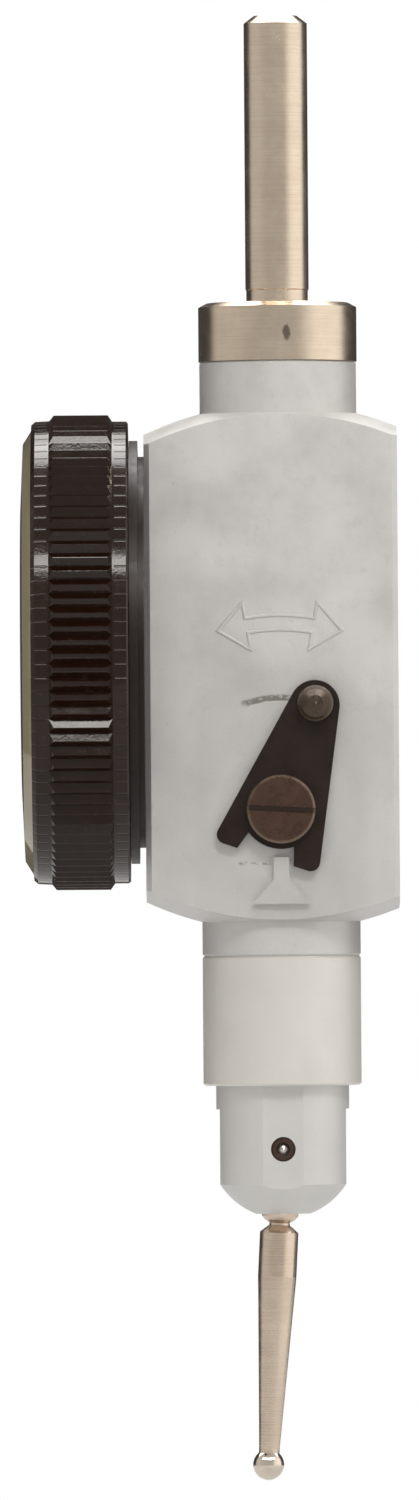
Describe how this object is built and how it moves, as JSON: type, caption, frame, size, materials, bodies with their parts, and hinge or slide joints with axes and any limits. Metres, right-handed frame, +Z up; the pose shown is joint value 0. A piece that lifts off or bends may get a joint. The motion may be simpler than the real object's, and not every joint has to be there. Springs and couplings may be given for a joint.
{
  "type": "dial test indicator",
  "caption": "Lever dial test indicator: aluminium body with a mounting stem, a black knurled dial on its side, a black reversing lever and a swivelling ball-ended stylus.",
  "frame": {"origin": "centre of the collar's top face, on the stem's axis", "axes": "+Z up the stem, -X towards the dial, -Y towards the reversing lever"},
  "size_m": [0.0237, 0.03, 0.0926],
  "materials": {
    "housing_aluminium": "satin",
    "stem_steel": "satin nickel",
    "polished_steel": "polished",
    "black_bezel": "gloss black",
    "black_steel": "oxidised black",
    "screw_steel": "bright",
    "movement_brass": "fine brushed",
    "spring_alloy": "bright",
    "ruby": "polished",
    "clear_crystal": "clear",
    "dial_white": "matt white",
    "black_paint": "matt black"
  },
  "bodies": {
    "instrument_body": {"housing": "housing_aluminium", "back_cover": "housing_aluminium", "cover_screws": "black_steel", "stem": "stem_steel", "sleeve": "housing_aluminium", "nose": "housing_aluminium", "pivot_bushes": "polished_steel", "bezel_carrier": "black_bezel", "carrier_screws": "screw_steel", "snap_ring": "screw_steel", "movement_plate": "movement_brass", "movement_pillars": "movement_brass", "movement_bridge": "movement_brass", "bridge_screws": "screw_steel", "plate_screws": "screw_steel", "pinion_cock": "movement_brass", "jewels": "ruby", "hairspring_stud": "movement_brass", "hairspring": "spring_alloy", "reverser_bush": "stem_steel"},
    "bezel_ring": {"bezel": "black_bezel", "crystal": "clear_crystal", "dial_face": "dial_white", "dial_ring": "black_paint"},
    "reverser": {"lever_plate": "black_steel", "lever_knob": "black_steel", "lever_screw": "black_steel", "reverser_shaft": "stem_steel", "reversing_spring": "spring_alloy"},
    "transmission": {"sector_lever": "movement_brass", "pivot_arbor": "stem_steel", "drive_pin": "stem_steel", "friction_washer": "stem_steel", "clutch_collar": "stem_steel"},
    "stylus_arm": {"stylus_holder": "stem_steel", "stylus": "stem_steel", "contact_ball": "polished_steel"},
    "crown_wheel": {"crown_arbor": "polished_steel", "crown_gear": "movement_brass"},
    "hand": {"dial_arbor": "polished_steel", "pointer": "black_paint", "pointer_hub": "movement_brass", "hairspring_collet": "movement_brass"}
  },
  "joints": [
    {"name": "bezel_turn", "type": "hinge", "parent": "instrument_body", "child": "bezel_ring", "pos_m": [-0.0125, 0, -0.022], "axis": [1, 0, 0], "continuous": true},
    {"name": "reverser_swing", "type": "hinge", "parent": "instrument_body", "child": "reverser", "pos_m": [0, -0.0055, -0.032], "axis": [0, -1, 0], "range_deg": [0, 36.6], "deforming": ["reversing_spring"]},
    {"name": "measuring_swing", "type": "hinge", "parent": "instrument_body", "child": "transmission", "pos_m": [0, 0, -0.0534], "axis": [0, -1, 0], "range_deg": [0, 2.8], "stiffness_Nm_per_rad": 0.02, "springref_deg": -6.88},
    {"name": "stylus_swivel", "type": "hinge", "parent": "transmission", "child": "stylus_arm", "pos_m": [0, 0, -0.0534], "axis": [0, -1, 0], "range_deg": [-87, 93]},
    {"name": "crown_spin", "type": "hinge", "parent": "instrument_body", "child": "crown_wheel", "pos_m": [0, 0, -0.022], "axis": [0, -1, 0], "range_deg": [-70.5, 0]},
    {"name": "pointer_spin", "type": "hinge", "parent": "instrument_body", "child": "hand", "pos_m": [-0.005, 0, -0.022], "axis": [1, 0, 0], "range_deg": [0, 440.5], "deforming": ["hairspring"]}
  ],
  "couplings": [
    {"joint": "crown_spin", "follows": "measuring_swing", "ratio": -25.167},
    {"joint": "pointer_spin", "follows": "measuring_swing", "ratio": 157.29}
  ]
}
